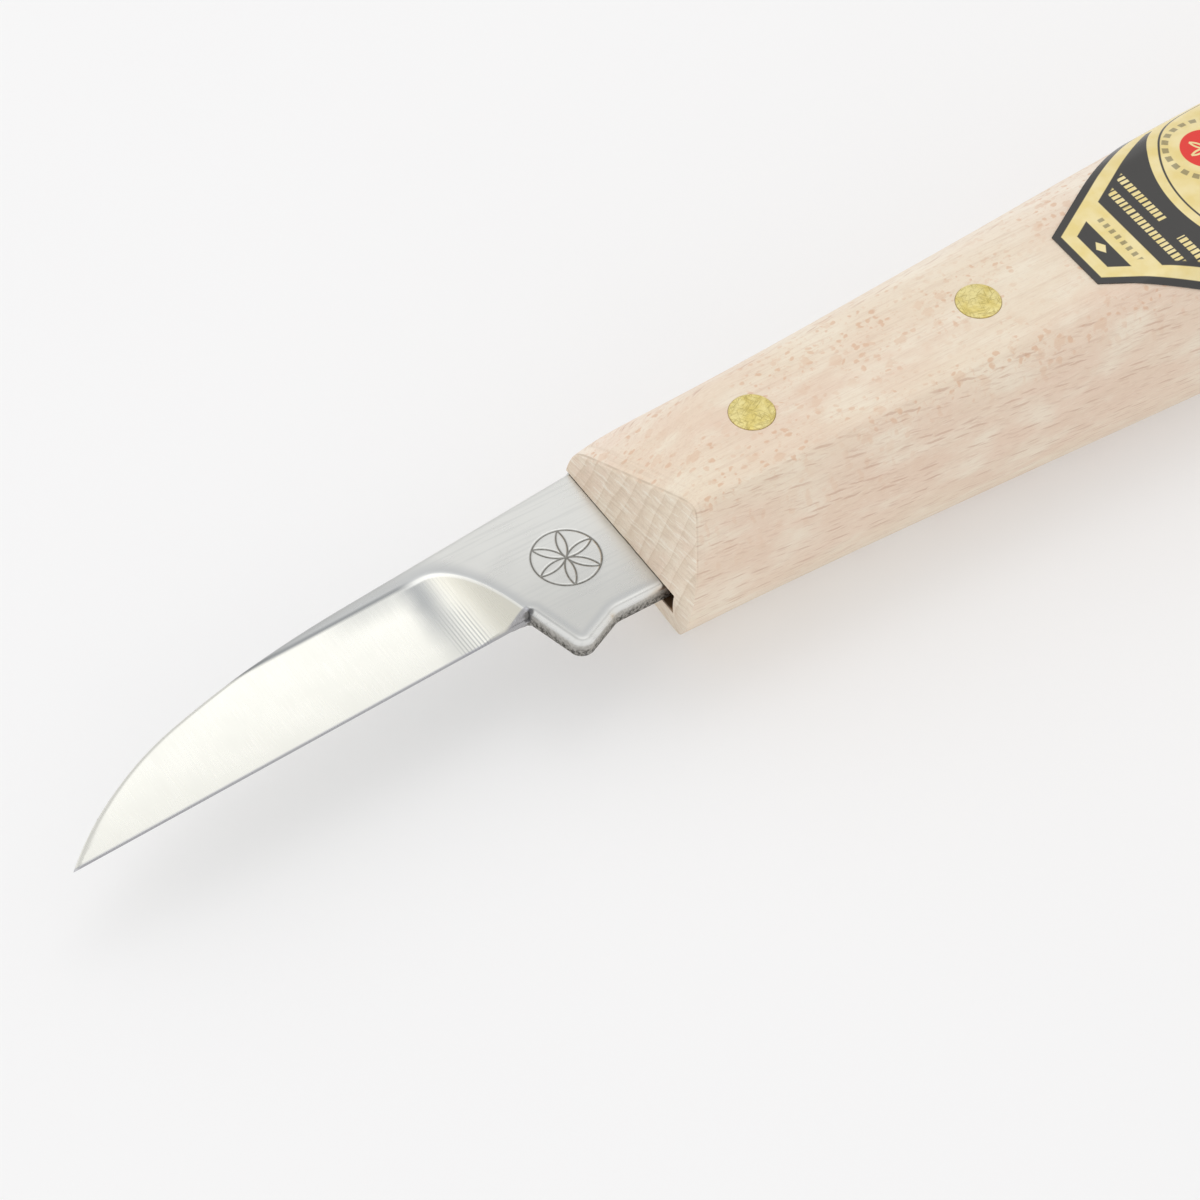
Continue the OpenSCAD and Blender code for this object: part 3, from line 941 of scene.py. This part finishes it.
def blade_metal():
    """Satin stainless steel: drawn along on the flats, ground across in the hollow, and left
    rough from the blanking on the guard's side."""
    steel = BladeFinish()
    x, y, z = steel.x, steel.y, steel.z
    hollow, cloud = steel.hollow, steel.cloud
    drawn = noise(spread(x, y, z, (0.12, 3.6, 3.6)), 2)
    ground = noise(spread(steel.along, y, z, (9.0, 0.35, 0.35)), 3, 0.6)

    lit = ramp(y + 0.3 * x + 5.0 * (cloud - 0.5), -8.0, 5.5)
    colour = steel.mix(FLAT_DARK, FLAT_LIGHT, lit)
    # Painted shade: a bluish darkening of the flat beside the grind and beside the guard, where its
    # reflection darkens.
    by_grind = ramp(steel.over_flat, 0.0, 0.42, 1.0, 0.0) * (1 - hollow)
    by_guard = band(steel.from_guard, 0.8, 1.2, 0.4) * (1 - hollow)
    colour = steel.mix(colour, FLAT_EDGE_SHADE, most(by_grind, by_guard) * 0.45)
    colour, wheel_lines = ground_colour(steel, colour)

    # Painted shade: the whetted edge and the strip beside the heel are dark blue-grey, as their facets
    # reflect darker surroundings.
    beside_heel = ramp(x, HEEL[0] - 2.6, HEEL[0] - 0.1)
    whetted = ramp(steel.above - 0.6 * beside_heel, 0.12, 0.34, 1.0, 0.0)
    whetted = whetted * ramp(x, HEEL[0], HEEL[0] + 0.15, 1.0, 0.0)
    colour = steel.mix(colour, WHETTED_SHADE, whetted * 0.75)
    # Darker on the steel just before it enters the wood.
    near_wood = ramp(x + 1.2 * (cloud - 0.5), -0.6, 0.2)
    colour = steel.mix(colour, WOOD_EDGE_DARK, near_wood * 0.3)
    face = ramp(steel.facing[2], 0.3, 0.6)
    rough_side = ramp(face, 0.0, 1.0, 1.0, 0.0) * ramp(steel.from_guard, 0.9, 1.4, 1.0, 0.0)
    rough_side = rough_side * ramp(x, HEEL[0] - 0.4, HEEL[0] + 0.2)
    colour = guard_colour(steel, colour, rough_side)

    in_groove = ramp(maths("ABSOLUTE", z), HALF_STOCK - 0.05, HALF_STOCK - 0.01, 1.0, 0.0)
    from_mark = hypotenuse(x - MARK_CENTRE[0], y - MARK_CENTRE[1])
    near_mark = ramp(from_mark, MARK_R + 0.3, MARK_R + 0.5, 1.0, 0.0)
    colour = steel.mix(colour, MARK_DARK, in_groove * near_mark * 0.8)
    colour = steel.mix(colour, DRAWN_GREY, ramp(drawn, 0.5, 0.7) * (1 - hollow) * 0.2)

    steel.set("Base Color", colour)
    steel.set("Metallic", 1.0)
    uneven = 0.08 * (cloud - 0.5) + 0.1 * (ground - 0.5) * hollow
    steel.set("Roughness", 0.28 + uneven + 0.25 * rough_side)
    relief = 0.002 * (ground - 0.5) * hollow + 0.02 * (steel.pits - 0.5) * rough_side
    steel.bump(relief - 0.0012 * wheel_lines)
    return steel.material


# ---- Rivet brass ----
BRASS_DEEP, BRASS_BRIGHT, SCRATCH_DARK = (0.86, 0.71, 0.25), (0.97, 0.85, 0.40), (0.42, 0.32, 0.09)


def brass():
    """Brass filed flush: short scratches in every direction, and grime in the deepest ones."""
    metal = Finish("brass")
    x, y, z = metal.x, metal.y, metal.z
    cloud = noise(spread(x, y, z, (0.9, 0.9, 0.9)), 3)
    strokes = []
    for k in range(4):
        turn = math.radians(25 + 47 * k)
        across = x * math.sin(turn) - y * math.cos(turn)
        along = x * math.cos(turn) + y * math.sin(turn)
        strokes.append(ramp(noise(spread(along, across, z, (0.9, 11.0, 1.0)), 2, 0.6, 0.3), 0.56, 0.72))
    scratches = most(*strokes)
    colour = metal.mix(BRASS_DEEP, BRASS_BRIGHT, ramp(cloud, 0.3, 0.65))
    colour = metal.mix(colour, SCRATCH_DARK, scratches * 0.42)
    metal.set("Base Color", colour)
    metal.set("Metallic", 1.0)
    metal.set("Roughness", 0.36 + 0.2 * scratches)
    metal.bump(-0.02 * scratches + 0.02 * (cloud - 0.5))
    return metal.material


# ---- Label foil ----
FOIL_BLACK, DISC_RED = (0.045, 0.043, 0.041), (0.76, 0.035, 0.025)
GOLD_DEEP, GOLD_BRIGHT = (0.84, 0.68, 0.28), (0.90, 0.77, 0.42)
OVAL_U, OVAL_V, OVAL_MEAN = 10.1, 11.7, 10.5


def disc_print(u, v):
    """A disc, the rosette on it, and the ring of dashes round it."""
    disc_u, disc_v = u - DISC_PLACE[0], v - DISC_PLACE[1]
    from_disc = hypotenuse(disc_u, disc_v)
    disc = ramp(from_disc, DISC_R - 0.05, DISC_R + 0.05, 1.0, 0.0)
    outline = from_disc
    for k in range(6):
        turn = math.radians(60 * k)
        petal = hypotenuse(disc_u - PETAL_R * math.cos(turn), disc_v - PETAL_R * math.sin(turn))
        outline = least(outline, maths("ABSOLUTE", petal - PETAL_R))
    rosette = ramp(outline, 0.07, 0.13, 1.0, 0.0) * ramp(from_disc, PETAL_R, PETAL_R + 0.08, 1.0, 0.0)
    dashes = ramp(maths("FRACT", maths("ARCTAN2", disc_v, disc_u) * 3.5), 0.55, 0.65, 1.0, 0.0)
    return disc, rosette, dashes * band(from_disc, DISC_R + 1.0, DISC_R + 1.6)


def print_rows(u, v, along):
    """Two rows of uneven dashes where the lines of print are."""
    rows = []
    for k, place in enumerate((7.7, 9.45)):
        wobble = noise(spread(v + 17.0 * k, v * 0, u * 0, (1.1, 1, 1)), 2)
        letters = ramp(maths("FRACT", v / 0.52 + 0.9 * wobble), 0.62, 0.72, 1.0, 0.0)
        words = ramp(noise(spread(v + 31.0 * k, v * 0, u * 0, (0.22, 1, 1)), 0), 0.36, 0.37)
        rows.append(band(along, place - 0.42, place + 0.42) * letters * words)
    return most(*rows)


def printed_foil():
    """Gloss black foil with gold print: a border, an end panel and its band, rows of dashes, and
    an oval with a red disc in it. along is the distance from the nearer end."""
    foil = Finish("printed_foil")
    u, v, _ = foil.split(foil.attribute("print_mm").outputs["Vector"])
    along = least(u, LABEL_LEN - u)
    across = maths("ABSOLUTE", v)
    slant = (LABEL_END_HALF + along * math.tan(LABEL_TAPER) - across) * math.cos(LABEL_TAPER)
    margin = least(along, LABEL_HALF - across, slant)
    border = band(margin, 0.7, 1.9)
    inside = ramp(margin, 1.5, 1.6)
    end_band = band(along, 3.7, 6.0) * inside
    lozenge = ramp(maths("ABSOLUTE", along - 2.85) / 0.5 + across / 0.75, 0.9, 1.1, 1.0, 0.0)
    oval = (1 - hypotenuse((u - LABEL_LEN / 2) / OVAL_U, v / OVAL_V)) * OVAL_MEAN
    oval_gold = ramp(oval, -0.04, 0.04)
    rows = print_rows(u, v, along) * inside
    rows = rows * ramp(margin, 2.3, 2.5) * ramp(oval, -0.6, -0.5, 1.0, 0.0)
    beads = ramp(maths("FRACT", v / 0.8), 0.45, 0.55, 1.0, 0.0)
    beads = beads * band(along, 4.55, 5.15) * ramp(margin, 2.6, 2.8)
    disc, rosette, round_disc = disc_print(u, v)

    ink = most(band(oval, 0.93, 1.13), beads * (1 - oval_gold) * 0.6, round_disc * 0.6)
    gold_share = most(border, end_band, rows, lozenge, oval_gold) * (1 - ink)
    cloud = noise(spread(u, v, v * 0, (0.5, 0.5, 1)), 3)
    gold = foil.mix(GOLD_DEEP, GOLD_BRIGHT, ramp(cloud, 0.3, 0.7))
    colour = foil.mix(FOIL_BLACK, gold, gold_share)
    colour = foil.mix(colour, DISC_RED, disc)
    colour = foil.mix(colour, gold, rosette)
    metal = most(gold_share * (1 - disc), rosette)
    foil.set("Base Color", colour)
    foil.set("Metallic", metal * 0.35)
    foil.set("Roughness", 0.24 + 0.1 * metal + 0.1 * (cloud - 0.5))
    creases = noise(spread(foil.x, foil.y, foil.z, (0.3, 0.8, 0.8)), 3)
    foil.bump(0.004 * metal + 0.03 * (creases - 0.5))
    return foil.material


# ---- Studio ----
PAPER, PAPER_PALE = (0.635, 0.633, 0.638), (0.65, 0.648, 0.653)


def make_floor():
    """A wide sheet of pale paper, slightly self-lit."""
    floor = new_object("floor", *floor_grid(half=2500, steps=9))
    floor.location = (0, 0, 0)
    paper = Finish("floor_paper")
    tone = noise(spread(paper.x, paper.y, paper.z, (0.02, 0.02, 0.02)), 2)
    paper.set("Base Color", paper.mix(PAPER, PAPER_PALE, tone))
    paper.set("Roughness", 0.9)
    paper.set("Emission Color", (1.0, 1.0, 1.0, 1.0))
    paper.set("Emission Strength", 0.275)
    paper.set("Specular IOR Level", 0.1)
    floor.data.materials.append(paper.material)


def floor_grid(half, steps):
    line = np.linspace(-half, half, steps)
    points = [(x, y, 0) for x in line for y in line]
    return points, grid_faces(steps, steps)


def make_world():
    """A soft white surround, with a bright patch overhead that the hollow grind faces."""
    world = bpy.data.worlds.new("studio")
    world.use_nodes = True
    tree = world.node_tree
    coordinates = tree.nodes.new("ShaderNodeTexCoord")
    split = tree.nodes.new("ShaderNodeSeparateXYZ")
    tree.links.new(coordinates.outputs["Generated"], split.inputs[0])
    right, back, up = [Field(tree, socket) for socket in split.outputs]
    light = ramp(up, -0.2, 0.8, 0.74, 0.82)
    patch = ramp(right * 0.28 + back * 0.25 + up * 0.927, 0.955, 0.993)
    light = light + 0.65 * patch
    tree.links.new(light.socket, tree.nodes["Background"].inputs["Strength"])
    tree.nodes["Background"].inputs["Color"].default_value = (1.0, 1.0, 0.995, 1)
    bpy.context.scene.world = world


def make_light(name, place, target, size, power, colour=(1, 1, 1)):
    """A square softbox at a place in knife axes, in millimetres, facing its target."""
    data = bpy.data.lights.new(name, "AREA")
    data.shape = "SQUARE"
    data.size = size * MM
    data.energy = power
    data.color = colour
    light = bpy.data.objects.new(name, data)
    place, target = Vector(place) * MM + ORIGIN, Vector(target) * MM + ORIGIN
    light.location = place
    light.rotation_mode = "QUATERNION"
    light.rotation_quaternion = (target - place).to_track_quat("-Z", "Y")
    light.visible_glossy = False
    bpy.context.scene.collection.objects.link(light)


def make_lights():
    make_light("key", (-130, 380, 620), (0, 0, 0), 1100, 1.7, (1.0, 0.99, 0.98))
    make_light("fill", (-200, -660, 260), (20, 0, 0), 460, 0.3)


def make_camera():
    """Looks down on the knife from beyond its tip and its cutting edge."""
    azimuth, elevation, roll = math.radians(-34.26), math.radians(50.8), math.radians(1.19)
    back = Vector((
        math.sin(azimuth) * math.cos(elevation),
        -math.cos(azimuth) * math.cos(elevation),
        math.sin(elevation),
    ))
    level = Vector((math.cos(azimuth), math.sin(azimuth), 0))
    upright = back.cross(level)
    right = level * math.cos(roll) + upright * math.sin(roll)
    up = upright * math.cos(roll) - level * math.sin(roll)
    data = bpy.data.cameras.new("camera")
    data.sensor_width = 36
    data.lens = 126
    data.clip_start = 0.01
    data.clip_end = 20
    camera = bpy.data.objects.new("camera", data)
    turn = Matrix((right, up, back)).transposed().to_4x4()
    place = Vector((-128.96, -186.08, 270.49)) * MM + ORIGIN
    camera.matrix_world = Matrix.Translation(place) @ turn
    bpy.context.scene.collection.objects.link(camera)
    bpy.context.scene.camera = camera


make_camera()
make_world()
make_lights()
make_floor()
make_handle(beech())
make_blade(blade_metal())
rivet_metal = brass()
for rivet_node, rivet_x in zip(("rivet_front", "rivet_rear"), RIVET_PLACES):
    make_rivet(rivet_node, rivet_x, rivet_metal)
make_label(printed_foil())
bpy.context.scene.view_settings.view_transform = "Standard"
